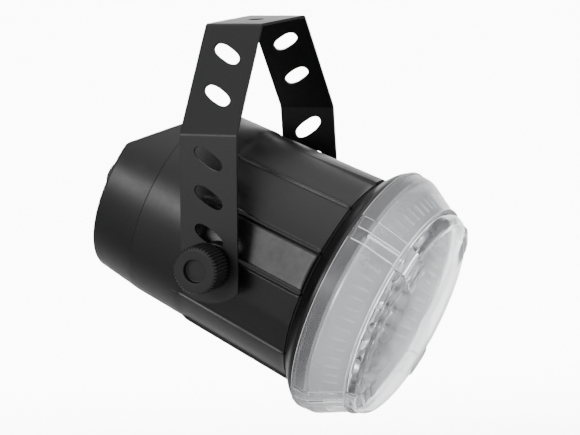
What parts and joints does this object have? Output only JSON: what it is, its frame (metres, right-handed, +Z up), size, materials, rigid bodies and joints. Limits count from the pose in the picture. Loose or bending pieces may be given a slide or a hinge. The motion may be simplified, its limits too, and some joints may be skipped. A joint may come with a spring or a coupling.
{
  "type": "strobe light",
  "caption": "Drum-shaped LED strobe light with a domed clear lens, hung from a slotted steel bracket and tilted between two clamp knobs.",
  "frame": {"origin": "centre of the hanging hole, on the top face of the bracket's top plate", "axes": "+X is the beam's direction seen from above, +Z is up, the bracket's arms are spread along Y, and the head is stored tilted 23.2 degrees nose down, as pictured"},
  "size_m": [0.2062, 0.1724, 0.22],
  "materials": {
    "coated_steel": "satin black powder coat",
    "housing_plastic": "satin black",
    "clear_plastic": "clear, polished",
    "silver_plastic": "silver, bright",
    "circuit_board": "green solder mask",
    "transformer_iron": "varnished",
    "aluminium": "bare extrusion",
    "plated_steel": "zinc plated",
    "black_plastic": "matte black",
    "washer_rubber": "matte",
    "brass": "machined",
    "lead_sheath": "matte"
  },
  "bodies": {
    "bracket": {"mounting_bracket": "coated_steel"},
    "head": {"control_board": "circuit_board", "driver_heat_sink": "aluminium", "front_housing": "housing_plastic", "inlet_pin_earth": "plated_steel", "inlet_pin_line": "plated_steel", "inlet_pin_neutral": "plated_steel", "inlet_screw_far": "plated_steel", "inlet_screw_near": "plated_steel", "led_01": "clear_plastic", "led_02": "clear_plastic", "led_03": "clear_plastic", "led_04": "clear_plastic", "led_05": "clear_plastic", "led_06": "clear_plastic", "led_07": "clear_plastic", "led_08": "clear_plastic", "led_09": "clear_plastic", "led_10": "clear_plastic", "led_11": "clear_plastic", "led_12": "clear_plastic", "led_13": "clear_plastic", "led_14": "clear_plastic", "led_15": "clear_plastic", "led_16": "clear_plastic", "led_17": "clear_plastic", "led_18": "clear_plastic", "led_19": "clear_plastic", "led_20": "clear_plastic", "led_21": "clear_plastic", "led_22": "clear_plastic", "led_board": "circuit_board", "led_board_screw_1": "plated_steel", "led_board_screw_2": "plated_steel", "led_board_screw_3": "plated_steel", "led_lead": "lead_sheath", "lens_cap": "clear_plastic", "mains_lead": "lead_sheath", "mains_transformer": "transformer_iron", "pivot_washer_far": "washer_rubber", "pivot_washer_near": "washer_rubber", "potentiometer_nut": "plated_steel", "power_inlet": "black_plastic", "rear_cap": "housing_plastic", "rear_cap_screw_1": "plated_steel", "rear_cap_screw_2": "plated_steel", "rear_cap_screw_3": "plated_steel", "rear_cap_screw_4": "plated_steel", "reflector": "silver_plastic", "speed_potentiometer": "plated_steel", "storage_capacitor": "black_plastic", "threaded_insert_far": "brass", "threaded_insert_near": "brass"},
    "near_clamp": {"clamp_knob_near": "black_plastic", "clamp_stud_near": "plated_steel"},
    "far_clamp": {"clamp_knob_far": "black_plastic", "clamp_stud_far": "plated_steel"},
    "speed_control": {"speed_knob": "black_plastic", "potentiometer_shaft": "plated_steel"}
  },
  "joints": [
    {"name": "head_tilt", "type": "hinge", "parent": "bracket", "child": "head", "pos_m": [0, 0, -0.1257], "axis": [0, 1, 0], "range_deg": [-64, 196]},
    {"name": "near_clamp_turn", "type": "hinge", "parent": "head", "child": "near_clamp", "pos_m": [0, -0.0775, -0.1257], "axis": [0, -1, 0], "range_deg": [0, 360]},
    {"name": "far_clamp_turn", "type": "hinge", "parent": "head", "child": "far_clamp", "pos_m": [0, 0.0775, -0.1257], "axis": [0, 1, 0], "range_deg": [0, 360]},
    {"name": "speed_turn", "type": "hinge", "parent": "head", "child": "speed_control", "pos_m": [-0.07235, -0.02, -0.09143], "axis": [-0.9191, 0, 0.3939], "range_deg": [-150, 150]}
  ]
}
